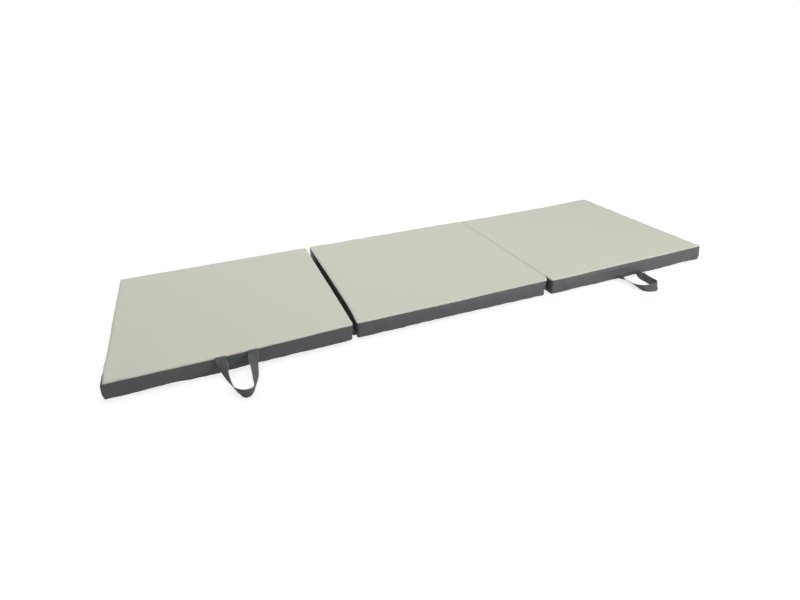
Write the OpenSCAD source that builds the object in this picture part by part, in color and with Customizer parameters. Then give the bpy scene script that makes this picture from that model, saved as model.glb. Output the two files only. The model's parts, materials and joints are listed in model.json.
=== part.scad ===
// Folding gym mat: three foam panels in sewn covers, joined by two hinge strips so that
// they fold in a Z, with a webbing carry handle on each end panel and a zip in the back
// of each cover. The mat lies open. +X runs along it, +Y to the back, +Z up, and the
// origin is under the centre of the middle panel.

/* [Panels] */
// Length of each panel along the mat, seam to seam
panel_l = 593; // [400:1:800]
// Depth of the end panels from front seam to back seam
panel_w = 593; // [400:1:800]
// How far the middle panel's front seam stands back from its neighbours
middle_setback = 4; // [0:1:10]
// Full thickness of a panel
panel_t = 50; // [40:1:60]
// Open gap between the left and middle panels, over the lower hinge
lower_hinge_gap = 13; // [10:0.5:20]
// Closed gap between the middle and right panels, under the upper hinge
upper_hinge_gap = 5; // [4:0.5:12]

/* [Cover] */
// Thickness of the vinyl
skin_t = 1.2; // [0.8:0.1:2]
// Drop from the flat faces to the seams
seam_drop = 5; // [3:0.5:8]
// Width of the rounded edge between a flat face and a free seam
edge_round = 10; // [6:0.5:14]
// Width of the rounded edge beside a hinge
hinge_round = 3; // [2:0.5:5]
// How far the side band swells out between its seams
band_swell = 4.5; // [1:0.5:8]
// Radius of a panel's squarely sewn corners seen from above
corner_r = 5; // [4:1:15]
// Radius of the left panel's two softer corners beside the lower hinge
lower_hinge_corner_r = 11; // [4:1:20]
// Radius of the middle panel's two softer corners beside the upper hinge
upper_hinge_corner_r = 20; // [4:1:20]
// Length of hinge strip left off at each end, beside the rounded corners
hinge_short = 22; // [16:1:60]
// Thickness of a hinge strip
hinge_t = 1; // [0.8:0.1:2]

/* [Handles] */
// Width of the webbing
webbing_w = 25; // [20:1:30]
// Thickness of the webbing
webbing_t = 1.4; // [1:0.1:2.5]
// Distance between the centres of a handle's two sewn ends
handle_span = 75; // [60:1:100]

/* [Zips] */
// Distance from each end of a zip to the panel's end seam
zip_inset = 45; // [30:1:120]
// Height of the zip's tapes together
tape_h = 20; // [20:10:30]
// Width of the closed coil
coil_w = 6; // [4:0.5:7]
// Height of the coil above its tape
coil_t = 1.6; // [1:0.1:2]
// Clearance around the slider and inside its bridge
slider_gap = 0.4; // [0.3:0.05:0.5]
// Length of the pull tab
pull_l = 18; // [12:1:30]

/* [Hidden] */
PANELS = ["left", "middle", "right"];

sage = [0.78, 0.78, 0.73];
charcoal = [0.30, 0.31, 0.32];
webbing_grey = [0.33, 0.34, 0.34];
foam_white = [0.93, 0.93, 0.91];
zip_black = [0.10, 0.10, 0.11];
slider_grey = [0.45, 0.46, 0.48];

// Seam heights, and the levels at which the side band is facetted
low_seam = seam_drop;
high_seam = panel_t - seam_drop;
band_steps = 8;
band_levels = [for (i = [0:band_steps]) low_seam + (high_seam - low_seam) * i / band_steps];
round_steps = 4;
corner_steps = 5;

// Each panel's seam rectangle, as [left, right, front, back, corner radii], with the
// radii at front right, back right, back left and front left
half_w = panel_w / 2;
middle_half = panel_l / 2;
left_start = -middle_half - lower_hinge_gap - panel_l;
right_start = middle_half + upper_hinge_gap;
SEAMS = [
    [left_start, left_start + panel_l, -half_w, half_w,
        [lower_hinge_corner_r, lower_hinge_corner_r, corner_r, corner_r]],
    [-middle_half, middle_half, -half_w + middle_setback, half_w,
        [upper_hinge_corner_r, upper_hinge_corner_r, corner_r, corner_r]],
    [right_start, right_start + panel_l, -half_w, half_w,
        [corner_r, corner_r, corner_r, corner_r]]
];
// 1 where a side is free to swell, 0 where it faces a neighbour across a hinge
SWELLS = [[1, 0, 1, 1], [0, 0, 1, 1], [0, 1, 1, 1]];
// Rounding of each side's edge under the top skin and over the bottom skin
TOP_ROUNDS = [
    [edge_round, edge_round, edge_round, edge_round],
    [edge_round, hinge_round, edge_round, edge_round],
    [hinge_round, edge_round, edge_round, edge_round]
];
BOTTOM_ROUNDS = [
    [edge_round, hinge_round, edge_round, edge_round],
    [hinge_round, edge_round, edge_round, edge_round],
    [edge_round, edge_round, edge_round, edge_round]
];

// The two folding axes, each just outside the faces that it folds together
fold_clearance = 0.3;
lower_axis_x = -middle_half - lower_hinge_gap / 2;
upper_axis_x = middle_half + upper_hinge_gap / 2;

// How far the band stands out of the seam line at height z: an arc through both seams
band_h = high_seam - low_seam;
swell_r = (band_h * band_h / 4 + band_swell * band_swell) / (2 * band_swell);
function swell_at(z) =
    let (up = z - panel_t / 2) sqrt(swell_r * swell_r - up * up) - swell_r + band_swell;
swell_table = [for (z = band_levels) [z, swell_at(z)]];

// A ring of points at height z around seam rectangle s, with each side moved out by its
// own amount in out = [left, right, front, back]
function ring(s, out, z) =
    let (
        x0 = s[0] - out[0],
        x1 = s[1] + out[1],
        y0 = s[2] - out[2],
        y1 = s[3] + out[3],
        corners = [[x1, y0, -1, 1], [x1, y1, -1, -1], [x0, y1, 1, -1], [x0, y0, 1, 1]]
    )
    [for (k = [0:3]) for (i = [0:corner_steps])
        let (c = corners[k], r = s[4][k], a = 90 * (k - 1) + 90 * i / corner_steps)
        [c[0] + r * (c[2] + cos(a)), c[1] + r * (c[3] + sin(a)), z]];
ring_n = 4 * (corner_steps + 1);

// Rings up the side band, set in by depth
function band_rings(p, depth) =
    [for (z = band_levels) ring(SEAMS[p], SWELLS[p] * swell_at(z) - depth * [1, 1, 1, 1], z)];

// Rings from a seam to a flat face: rise is +1 for the top and -1 for the bottom
function edge_rings(p, rounds, seam_z, rise, depth) =
    [for (i = [0:round_steps])
        let (t = 90 * i / round_steps)
        ring(
            SEAMS[p],
            [for (r = rounds) -depth - (r - depth) * (1 - cos(t))],
            seam_z + rise * (seam_drop - depth) * sin(t)
        )];

// Faces that join ring i to ring i + 1 of a stack
function wall_faces(n_rings) =
    [for (i = [0:n_rings - 2]) for (j = [0:ring_n - 1])
        let (
            a = i * ring_n + j,
            b = i * ring_n + (j + 1) % ring_n
        )
        for (f = [[a, a + ring_n, b + ring_n], [a, b + ring_n, b]]) f];

function reversed(list) = [for (i = [len(list) - 1:-1:0]) list[i]];
function flat(list) = [for (part = list) for (item = part) item];
function shifted(faces, by) = [for (f = faces) [for (v = f) v + by]];
function turned(faces) = [for (f = faces) reversed(f)];

// A closed solid through a stack of rings, lowest first
module stack(rings) {
    n = len(rings);
    polyhedron(
        points = flat(rings),
        faces = concat(
            wall_faces(n),
            [[for (j = [0:ring_n - 1]) j]],
            [[for (j = [ring_n - 1:-1:0]) (n - 1) * ring_n + j]]
        ),
        convexity = 4
    );
}

// A tray between an outer and an inner stack, both closed at their last ring
module tray(outer, inner, upward) {
    n = len(outer);
    far = n * ring_n;
    walls = concat(
        turned(wall_faces(n)),
        shifted(wall_faces(n), far),
        [[for (j = [0:ring_n - 1]) (n - 1) * ring_n + j]],
        [[for (j = [ring_n - 1:-1:0]) far + (n - 1) * ring_n + j]],
        [for (j = [0:ring_n - 1]) [far + j, far + (j + 1) % ring_n, (j + 1) % ring_n, j]]
    );
    polyhedron(
        points = concat(flat(outer), flat(inner)),
        faces = upward ? turned(walls) : walls,
        convexity = 4
    );
}

// A closed belt between two stacks that share their first and last heights
module belt(outer, inner) {
    n = len(outer);
    far = n * ring_n;
    last = (n - 1) * ring_n;
    polyhedron(
        points = concat(flat(outer), flat(inner)),
        faces = concat(
            wall_faces(n),
            shifted(turned(wall_faces(n)), far),
            [for (j = [0:ring_n - 1])
                [j, (j + 1) % ring_n, far + (j + 1) % ring_n, far + j]],
            [for (j = [0:ring_n - 1])
                [last + j, far + last + j, far + last + (j + 1) % ring_n,
                    last + (j + 1) % ring_n]]
        ),
        convexity = 6
    );
}

module foam_core(p) {
    low = edge_rings(p, BOTTOM_ROUNDS[p], low_seam, -1, skin_t);
    high = edge_rings(p, TOP_ROUNDS[p], high_seam, 1, skin_t);
    sides = band_rings(p, skin_t);
    color(foam_white)
        stack(concat(
            reversed(low),
            [for (i = [1:band_steps - 1]) sides[i]],
            high
        ));
}

module top_skin(p) {
    color(sage)
        tray(
            edge_rings(p, TOP_ROUNDS[p], high_seam, 1, 0),
            edge_rings(p, TOP_ROUNDS[p], high_seam, 1, skin_t),
            true
        );
}

module bottom_skin(p) {
    color(charcoal)
        tray(
            edge_rings(p, BOTTOM_ROUNDS[p], low_seam, -1, 0),
            edge_rings(p, BOTTOM_ROUNDS[p], low_seam, -1, skin_t),
            false
        );
}

// The zip's place along a panel, and the heights of its tapes
function zip_start(p) = SEAMS[p][0] + zip_inset;
zip_l = panel_l - 2 * zip_inset;
zip_z = panel_t / 2;
tape_low = zip_z - tape_h / 2;
tape_high = zip_z + tape_h / 2;
tape_t = skin_t * 2 / 3;
tape_slit = 0.8;
function core_face(z) = half_w + lookup(z, swell_table) - skin_t;
function tape_face(z) = core_face(z) + tape_t;

module side_band(p) {
    color(charcoal)
        difference() {
            belt(band_rings(p, 0), band_rings(p, skin_t));
            translate([zip_start(p), half_w - skin_t - 1, tape_low])
                cube([zip_l, band_swell + skin_t + 2, tape_h]);
        }
}

// Extrudes a [y, z] outline along X
module along_x(x, length, outline) {
    translate([x, 0, 0])
        rotate([90, 0, 90])
            linear_extrude(height = length)
                polygon(outline);
}

function levels_between(a, b) =
    concat([a], [for (z = band_levels) if (z > a + 0.01 && z < b - 0.01) z], [b]);

module zip_tape(p) {
    halves = [[tape_low, zip_z - tape_slit / 2], [zip_z + tape_slit / 2, tape_high]];
    color(zip_black)
        for (h = halves) {
            levels = levels_between(h[0], h[1]);
            along_x(zip_start(p), zip_l, concat(
                [for (z = levels) [core_face(z), z]],
                [for (z = reversed(levels)) [tape_face(z), z]]
            ));
        }
}

stop_l = 3;
coil_top = tape_face(zip_z) + coil_t;
// Outline of the coil: flat on its tape, with its outer corners cut off
function coil_outline(half, top) = concat(
    [for (z = levels_between(zip_z - half, zip_z + half)) [tape_face(z), z]],
    [[top - 0.5, zip_z + half], [top, zip_z + half - 1]],
    [[top, zip_z - half + 1], [top - 0.5, zip_z - half]]
);

module zip_coil(p) {
    color(zip_black)
        along_x(
            zip_start(p) + stop_l, zip_l - 2 * stop_l,
            coil_outline(coil_w / 2, coil_top)
        );
}

module zip_stops(p) {
    color(slider_grey)
        for (x = [zip_start(p), zip_start(p) + zip_l - stop_l])
            along_x(x, stop_l, coil_outline(coil_w / 2 + 0.6, coil_top + 0.3));
}

// The slider rides on the coil; its bridge holds the pull's crossbar
slider_l = 11;
slider_side = 1.2;
slider_roof = 0.9;
slider_y = coil_top + slider_gap;
slider_face = slider_y + slider_roof;
bridge_w = 2;
bridge_post = 1;
bridge_half = 3.1;
bridge_beam = 0.7;
crossbar_d = 1.2;
crossbar_y = slider_face + crossbar_d / 2 + slider_gap;
bridge_clear = crossbar_d + 2 * slider_gap;
function slider_x(p) = zip_start(p) + zip_l - stop_l - slider_l / 2 - 0.5;

module zip_slider(p) {
    outer_h = coil_w + 2 * slider_gap + 2 * slider_side;
    flange_y = tape_face(zip_z) + slider_gap;
    color(slider_grey)
        translate([slider_x(p), 0, zip_z]) {
            translate([-slider_l / 2, slider_y, -outer_h / 2])
                cube([slider_l, slider_roof, outer_h]);
            for (side = [-1, 1])
                translate([
                    -slider_l / 2, flange_y,
                    side * (outer_h - slider_side) / 2 - slider_side / 2
                ])
                    cube([slider_l, slider_y - flange_y, slider_side]);
            for (side = [-1, 1])
                translate([
                    side * (bridge_half - bridge_post / 2) - bridge_post / 2,
                    slider_face, -bridge_w / 2
                ])
                    cube([bridge_post, bridge_clear, bridge_w]);
            translate([-bridge_half, slider_face + bridge_clear, -bridge_w / 2])
                cube([2 * bridge_half, bridge_beam, bridge_w]);
        }
}

pull_w = 5.6;
pull_t = 1.1;
pull_arm = 1.2;
pull_eye = 4.2;

module zip_pull(p) {
    color(zip_black)
        translate([slider_x(p), crossbar_y, zip_z]) {
            cylinder(h = pull_w, d = crossbar_d, center = true, $fn = 24);
            for (side = [-1, 1])
                translate([
                    -pull_eye, -pull_t / 2,
                    side * (pull_w - pull_arm) / 2 - pull_arm / 2
                ])
                    cube([pull_eye, pull_t, pull_arm]);
            translate([-pull_eye - pull_l + pull_w / 2, -pull_t / 2, -pull_w / 2])
                cube([pull_l - pull_w / 2, pull_t, pull_w]);
            translate([-pull_eye - pull_l + pull_w / 2, 0, 0])
                rotate([90, 0, 0])
                    cylinder(h = pull_t, d = pull_w, center = true, $fn = 32);
        }
}

// One half of a hinge strip, from a seam to just short of the fold's axis
module hinge_leaf(seam_x, axis_x, seam_z, edge_z, start_y, end_y) {
    toward = sign(axis_x - seam_x);
    tip_x = axis_x - toward * fold_clearance;
    down = sign(seam_z - edge_z) * hinge_t;
    translate([0, end_y, 0])
        rotate([90, 0, 0])
            linear_extrude(height = end_y - start_y)
                polygon([
                    [seam_x, seam_z],
                    [tip_x, edge_z + down],
                    [tip_x, edge_z],
                    [seam_x, seam_z - down]
                ]);
}

module lower_leaf(p) {
    start_y = max(SEAMS[0][2], SEAMS[1][2]) + hinge_short;
    end_y = half_w - hinge_short;
    seam_x = p == 0 ? SEAMS[0][1] : SEAMS[1][0];
    color(charcoal)
        hinge_leaf(seam_x, lower_axis_x, low_seam, 0, start_y, end_y);
}

module upper_leaf(p) {
    start_y = max(SEAMS[1][2], SEAMS[2][2]) + hinge_short;
    end_y = half_w - hinge_short;
    seam_x = p == 1 ? SEAMS[1][1] : SEAMS[2][0];
    color(sage)
        hinge_leaf(seam_x, upper_axis_x, high_seam, panel_t, start_y, end_y);
}

// A handle's route: [across, out, height, roll]. Across and out are measured from the
// middle of its panel's front seam. Roll is 0 where the webbing lies flat, and 90 or -90
// where it stands on edge.
half_span = handle_span / 2;
LEFT_ROUTE = [
    [-half_span, 2.4, 44, 0],
    [-half_span, 7.4, 40, 1],
    [-34, 18.8, 26, 30.1],
    [-29.9, 47.4, 17.7, 72.3],
    [-20.5, 89.4, 12.6, 106.2],
    [-15.8, 108.5, 13.7, 110],
    [-0.2, 127.2, 12.9, 92.8],
    [18.5, 122.8, 13.8, 107.5],
    [24.8, 92.5, 12.9, 86.5],
    [31.4, 60.5, 17.4, 56.7],
    [33.9, 27.5, 25.5, 36.3],
    [half_span, 7.4, 40, 1],
    [half_span, 2.4, 44, 0]
];
RIGHT_ROUTE = [
    [-half_span, 2.4, 4.2, 0],
    [-half_span, 7, 4.3, -4],
    [-43.3, 20.2, 7.3, -18.2],
    [-37.2, 39.1, 7.4, -30.3],
    [-42.5, 64.8, 9, -38.5],
    [-44.5, 90, 11, -51.7],
    [-40.5, 105, 12.8, -70.9],
    [-24.8, 113.4, 13.4, -93.9],
    [-8.6, 116.9, 13, -101.8],
    [2.6, 112.7, 12.6, -108.1],
    [13.1, 102.4, 13.3, -98.6],
    [11.7, 73.9, 13.7, -89.2],
    [15.1, 45.8, 13.3, -80.4],
    [26.6, 26.1, 9.5, -36.6],
    [32.1, 18.3, 6.2, -11.2],
    [half_span, 7, 4.4, -4],
    [half_span, 2.4, 4.2, 0]
];
route_steps = 3;

// A Catmull-Rom curve through a route
function curve_at(route, i, t) =
    let (
        n = len(route),
        a = route[max(i - 1, 0)],
        b = route[i],
        c = route[min(i + 1, n - 1)],
        d = route[min(i + 2, n - 1)]
    )
    0.5 * (2 * b + (c - a) * t + (2 * a - 5 * b + 4 * c - d) * t * t
        + (3 * b - a - 3 * c + d) * t * t * t);
function smooth_route(route) = concat(
    [for (i = [0:len(route) - 2]) for (k = [0:route_steps - 1])
        curve_at(route, i, k / route_steps)],
    [route[len(route) - 1]]
);

function unit(v) = v / norm(v);
// Four corners of the webbing's section at one point of its route
function webbing_section(here, before, after) =
    let (
        along = unit(after - before),
        up = unit([0, 0, 1] - along * along[2]),
        side = cross(up, along),
        wide = cos(here[3]) * side + sin(here[3]) * up,
        thick = cross(along, wide),
        p = [here[0], here[1], here[2]]
    )
    [for (c = [[-1, -1], [1, -1], [1, 1], [-1, 1]])
        p + c[0] * wide * webbing_w / 2 + c[1] * thick * webbing_t / 2];

// Turns a route's point into part coordinates, keeping its roll
function placed(point, middle_x, front_y) =
    [middle_x + point[0], front_y - point[1], point[2], point[3]];
function spot(point) = [point[0], point[1], point[2]];
// The point beside a sewn end, moved level with it so that the end lies square to the seam
function square_to(point, end) = [end[0], point[1], point[2]];

module handle(route, p) {
    middle_x = (SEAMS[p][0] + SEAMS[p][1]) / 2;
    line = [for (q = smooth_route(route)) placed(q, middle_x, SEAMS[p][2])];
    n = len(line);
    before = concat(
        [spot(line[0])],
        [for (i = [0:n - 3]) spot(line[i])],
        [square_to(line[n - 2], line[n - 1])]
    );
    after = concat(
        [square_to(line[1], line[0])],
        [for (i = [2:n - 1]) spot(line[i])],
        [spot(line[n - 1])]
    );
    sections = [for (i = [0:n - 1]) webbing_section(line[i], before[i], after[i])];
    color(webbing_grey)
        polyhedron(
            points = flat(sections),
            faces = concat(
                [[0, 1, 2, 3]],
                [[4 * n - 1, 4 * n - 2, 4 * n - 3, 4 * n - 4]],
                [for (i = [0:n - 2]) for (k = [0:3])
                    let (a = 4 * i + k, b = 4 * i + (k + 1) % 4)
                    for (f = [[a, a + 4, b + 4], [a, b + 4, b]]) f]
            ),
            convexity = 8
        );
}

foam_core(0);  // left_foam_core
top_skin(0);  // left_top_skin
side_band(0);  // left_side_band
bottom_skin(0);  // left_bottom_skin
zip_tape(0);  // left_zip_tape
zip_coil(0);  // left_zip_coil
zip_stops(0);  // left_zip_stops
zip_slider(0);  // left_zip_slider
zip_pull(0);  // left_zip_pull
foam_core(1);  // middle_foam_core
top_skin(1);  // middle_top_skin
side_band(1);  // middle_side_band
bottom_skin(1);  // middle_bottom_skin
zip_tape(1);  // middle_zip_tape
zip_coil(1);  // middle_zip_coil
zip_stops(1);  // middle_zip_stops
zip_slider(1);  // middle_zip_slider
zip_pull(1);  // middle_zip_pull
foam_core(2);  // right_foam_core
top_skin(2);  // right_top_skin
side_band(2);  // right_side_band
bottom_skin(2);  // right_bottom_skin
zip_tape(2);  // right_zip_tape
zip_coil(2);  // right_zip_coil
zip_stops(2);  // right_zip_stops
zip_slider(2);  // right_zip_slider
zip_pull(2);  // right_zip_pull
lower_leaf(0);  // lower_hinge_left_leaf
lower_leaf(1);  // lower_hinge_middle_leaf
upper_leaf(1);  // upper_hinge_middle_leaf
upper_leaf(2);  // upper_hinge_right_leaf
handle(LEFT_ROUTE, 0);  // left_handle
handle(RIGHT_ROUTE, 2);  // right_handle
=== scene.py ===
import json
import math

import bpy
import numpy as np
from mathutils import Matrix, Vector, noise

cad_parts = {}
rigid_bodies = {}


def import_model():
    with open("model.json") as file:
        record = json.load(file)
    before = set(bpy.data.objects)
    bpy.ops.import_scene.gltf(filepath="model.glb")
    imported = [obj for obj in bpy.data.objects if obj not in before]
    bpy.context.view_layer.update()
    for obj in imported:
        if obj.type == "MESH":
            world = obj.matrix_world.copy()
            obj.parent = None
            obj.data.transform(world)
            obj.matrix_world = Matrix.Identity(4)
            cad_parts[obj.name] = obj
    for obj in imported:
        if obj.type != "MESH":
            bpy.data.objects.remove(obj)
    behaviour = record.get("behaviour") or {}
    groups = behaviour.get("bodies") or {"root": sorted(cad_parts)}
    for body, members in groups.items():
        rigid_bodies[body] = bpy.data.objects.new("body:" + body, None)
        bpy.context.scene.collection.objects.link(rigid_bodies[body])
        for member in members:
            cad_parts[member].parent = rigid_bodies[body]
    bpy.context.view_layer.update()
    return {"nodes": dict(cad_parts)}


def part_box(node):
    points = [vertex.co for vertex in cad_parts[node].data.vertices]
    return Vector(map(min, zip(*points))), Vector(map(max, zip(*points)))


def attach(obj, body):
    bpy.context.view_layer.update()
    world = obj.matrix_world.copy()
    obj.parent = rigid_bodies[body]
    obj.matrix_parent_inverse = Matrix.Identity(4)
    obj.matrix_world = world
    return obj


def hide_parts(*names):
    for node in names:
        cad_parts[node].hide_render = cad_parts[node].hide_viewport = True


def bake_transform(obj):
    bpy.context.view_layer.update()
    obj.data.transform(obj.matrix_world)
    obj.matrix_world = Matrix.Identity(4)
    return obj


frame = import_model()
mm = 0.001
panels = ("left", "middle", "right")


# Modelling helpers

def onlySelect(piece):
    if bpy.context.object and bpy.context.object.mode != "OBJECT":
        backToObject()
    bpy.ops.object.select_all(action="DESELECT")
    piece.select_set(True)
    bpy.context.view_layer.objects.active = piece


def backToObject():
    bpy.ops.object.mode_set(mode="OBJECT")


def newest(name):
    piece = bpy.context.object
    piece.name = name
    piece.data.name = name
    return piece


def placeInMesh(piece):
    onlySelect(piece)
    bpy.ops.object.transform_apply(location=True, rotation=True, scale=True)


def copyOf(piece, name):
    twin = piece.copy()
    twin.data = piece.data.copy()
    twin.name = name
    twin.data.name = name
    twin.parent = None
    bpy.context.scene.collection.objects.link(twin)
    return twin


def pointsOf(piece, kind="co"):
    flat = np.empty(len(piece.data.vertices) * 3)
    piece.data.vertices.foreach_get(kind, flat)
    return flat.reshape(-1, 3)


def normalsOf(piece):
    return pointsOf(piece, "normal")


def movePoints(piece, points):
    piece.data.vertices.foreach_set("co", np.ascontiguousarray(points, float).ravel())
    piece.data.update()


def applyModifier(piece, kind, **values):
    onlySelect(piece)
    change = piece.modifiers.new(kind.lower(), kind)
    for key, value in values.items():
        setattr(change, key, value)
    bpy.ops.object.modifier_apply(modifier=change.name)


def bevelEdges(piece, width, segments, angle):
    applyModifier(
        piece, "BEVEL", width=width, segments=segments, limit_method="ANGLE",
        angle_limit=math.radians(angle),
    )


def repeatAlong(piece, count, step):
    applyModifier(
        piece, "ARRAY", count=count, use_relative_offset=False,
        use_constant_offset=True, constant_offset_displace=(step, 0, 0),
    )


def subdivide(piece):
    applyModifier(piece, "SUBSURF", levels=1, render_levels=1)


def makeCylinder(name, **shape):
    bpy.ops.mesh.primitive_cylinder_add(**shape)
    piece = newest(name)
    placeInMesh(piece)
    return piece


# Goes into edit mode with everything selected
def editAll(piece):
    onlySelect(piece)
    bpy.ops.object.mode_set(mode="EDIT")
    bpy.ops.mesh.select_all(action="SELECT")


# Goes into edit mode with only the wanted faces or edges selected
def pickInEdit(piece, faces=None, edges=None):
    onlySelect(piece)
    bpy.ops.object.mode_set(mode="EDIT")
    bpy.ops.mesh.select_mode(type="FACE" if faces else "EDGE")
    bpy.ops.mesh.select_all(action="DESELECT")
    backToObject()
    if faces:
        for face in piece.data.polygons:
            face.select = faces(face)
    if edges:
        for edge in piece.data.edges:
            ends = [piece.data.vertices[v].co for v in edge.vertices]
            edge.select = edges(*ends)
    bpy.ops.object.mode_set(mode="EDIT")


# Slices everything that is selected in edit mode at each place along an axis
def cutAcross(places, axis):
    normal = Vector((0, 0, 0))
    normal[axis] = 1
    for place in places:
        bpy.ops.mesh.select_all(action="SELECT")
        bpy.ops.mesh.bisect(plane_co=normal * place, plane_no=normal)


# Smooth noise from -1 to 1 at each point, with bumps about scale metres apart
def ripple(points, scale, seed):
    shift = Vector((seed * 7.31, seed * 3.17, seed * 5.53))
    return np.array([noise.noise(Vector(p) / scale + shift) for p in points])


# Camera: high in front of the left panel, turned towards the far end of the mat

camera = {
    "place": (-0.5953, -1.4391, 0.7327),
    "turn": 21.208,
    "dip": 27.839,
    "roll": 2.134,
    "lens": 23.477,
    "shift": -0.0125,
}


def makeCamera():
    turn, dip, roll = (math.radians(camera[k]) for k in ("turn", "dip", "roll"))
    ahead = Vector((
        math.sin(turn) * math.cos(dip),
        math.cos(turn) * math.cos(dip),
        -math.sin(dip),
    ))
    level = Vector((math.cos(turn), -math.sin(turn), 0))
    down = ahead.cross(level)
    right = math.cos(roll) * level + math.sin(roll) * down
    up = math.sin(roll) * level - math.cos(roll) * down
    data = bpy.data.cameras.new("camera")
    data.sensor_width = 36
    data.lens = camera["lens"]
    data.shift_x = camera["shift"]
    eye = bpy.data.objects.new("camera", data)
    eye.matrix_world = Matrix.Translation(camera["place"]) @ Matrix(
        (right, up, -ahead)
    ).transposed().to_4x4()
    bpy.context.scene.collection.objects.link(eye)
    bpy.context.scene.camera = eye


makeCamera()
print("camera placed")


# Shader helpers

# A new node, laid out in rows of six in the order of making
def addNode(tree, kind, **values):
    row, column = divmod(len(tree.nodes), 6)
    node = tree.nodes.new(kind if kind.startswith("NodeGroup") else f"ShaderNode{kind}")
    node.location = (column * 220, -row * 320)
    for key, value in values.items():
        setattr(node, key, value)
    return node


def setInputs(node, **values):
    for key, value in values.items():
        node.inputs[key.replace("_", " ")].default_value = value


# A shader node group on a vector, as (group, its input, its output). Sockets are numbers,
# apart from those called Color
def newGroup(name, inputs, outputs):
    group = bpy.data.node_groups.new(name, "ShaderNodeTree")
    sockets = [("INPUT", label, value) for label, value in inputs.items()]
    sockets = [("INPUT", "Vector", None), *sockets, *[("OUTPUT", o, None) for o in outputs]]
    for way, label, value in sockets:
        kind = label if label in ("Vector", "Color") else "Float"
        socket = group.interface.new_socket(label, in_out=way, socket_type=f"NodeSocket{kind}")
        if value is not None:
            socket.default_value = value
    start = addNode(group, "NodeGroupInput")
    end = addNode(group, "NodeGroupOutput")
    return group, start, end


def placeGroup(tree, name, vector, **values):
    node = addNode(tree, "Group")
    node.node_tree = groups[name]
    setInputs(node, **values)
    tree.links.new(vector, node.inputs["Vector"])
    return node


def placeTone(tree, vector, color, amount, size):
    return placeGroup(tree, "tone", vector, Color=(*color, 1), Amount=amount, Size_mm=size)


def mathNode(tree, operation, first, second=0.5):
    node = addNode(tree, "Math", operation=operation)
    for socket, value in zip(node.inputs, (first, second)):
        if isinstance(value, (int, float)):
            socket.default_value = value
        else:
            tree.links.new(value, socket)
    return node.outputs[0]


# Noise on a vector, with its scale as a number or from a socket
def noiseNode(tree, vector, scale, kind="FBM", **values):
    node = addNode(tree, "TexNoise", noise_type=kind)
    setInputs(node, **values)
    tree.links.new(vector, node.inputs["Vector"])
    if isinstance(scale, float):
        setInputs(node, Scale=scale)
    else:
        tree.links.new(scale, node.inputs["Scale"])
    return node.outputs["Fac"]


# The texture scale for a group's own size in mm
def scaleFromSize(group, start):
    metres = mathNode(group, "MULTIPLY", start.outputs["Size mm"], mm)
    return mathNode(group, "DIVIDE", 1.0, metres)


# Fine pebbled grain of coated vinyl: a height, and a mask of its hollows
def vinylGrainGroup():
    group, start, end = newGroup("vinylGrain", {"Size mm": 1.2}, ("Height", "Hollows"))
    link = group.links.new
    scale = scaleFromSize(group, start)
    warp = noiseNode(group, start.outputs["Vector"], scale, Detail=2.0)
    cells = addNode(group, "TexVoronoi", feature="SMOOTH_F1")
    setInputs(cells, Smoothness=0.6)
    link(start.outputs["Vector"], cells.inputs["Vector"])
    link(scale, cells.inputs["Scale"])
    coarser = mathNode(group, "MULTIPLY", scale, 0.4)
    fine = noiseNode(group, start.outputs["Vector"], coarser, Detail=3.0)
    lumps = mathNode(group, "SUBTRACT", 1.0, cells.outputs["Distance"])
    mixed = mathNode(group, "MULTIPLY", lumps, fine)
    total = mathNode(group, "ADD", mixed, warp)
    link(mathNode(group, "MULTIPLY", total, 0.5), end.inputs["Height"])
    link(cells.outputs["Distance"], end.inputs["Hollows"])
    return group


# Shallow creases that run every way through limp sheeting
def crumpleGroup():
    group, start, end = newGroup("crumple", {"Size mm": 30.0}, ("Height",))
    link = group.links.new
    scale = scaleFromSize(group, start)
    vector = start.outputs["Vector"]
    broad = noiseNode(
        group, vector, scale, "RIDGED_MULTIFRACTAL",
        Detail=3.0, Roughness=0.45, Distortion=0.6,
    )
    coarser = mathNode(group, "MULTIPLY", scale, 0.55)
    soft = noiseNode(group, vector, coarser, Detail=2.0, Distortion=0.4)
    total = mathNode(group, "ADD", broad, soft)
    link(mathNode(group, "MULTIPLY", total, 0.5), end.inputs["Height"])
    return group


# Slow changes of shade, as from rolls of sheeting and a little handling
def toneGroup():
    inputs = {"Color": None, "Amount": 0.05, "Size mm": 180.0}
    group, start, end = newGroup("toneDrift", inputs, ("Color", "Drift"))
    link = group.links.new
    scale = scaleFromSize(group, start)
    clouds = noiseNode(group, start.outputs["Vector"], scale, Detail=5.0, Roughness=0.6)
    centred = mathNode(group, "SUBTRACT", clouds, 0.5)
    doubled = mathNode(group, "MULTIPLY", centred, 2.0)
    amount = mathNode(group, "MULTIPLY", doubled, start.outputs["Amount"])
    factor = mathNode(group, "ADD", amount, 1.0)
    tint = addNode(group, "VectorMath", operation="SCALE")
    link(start.outputs["Color"], tint.inputs[0])
    link(factor, tint.inputs["Scale"])
    link(tint.outputs[0], end.inputs["Color"])
    link(clouds, end.inputs["Drift"])
    return group


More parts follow.
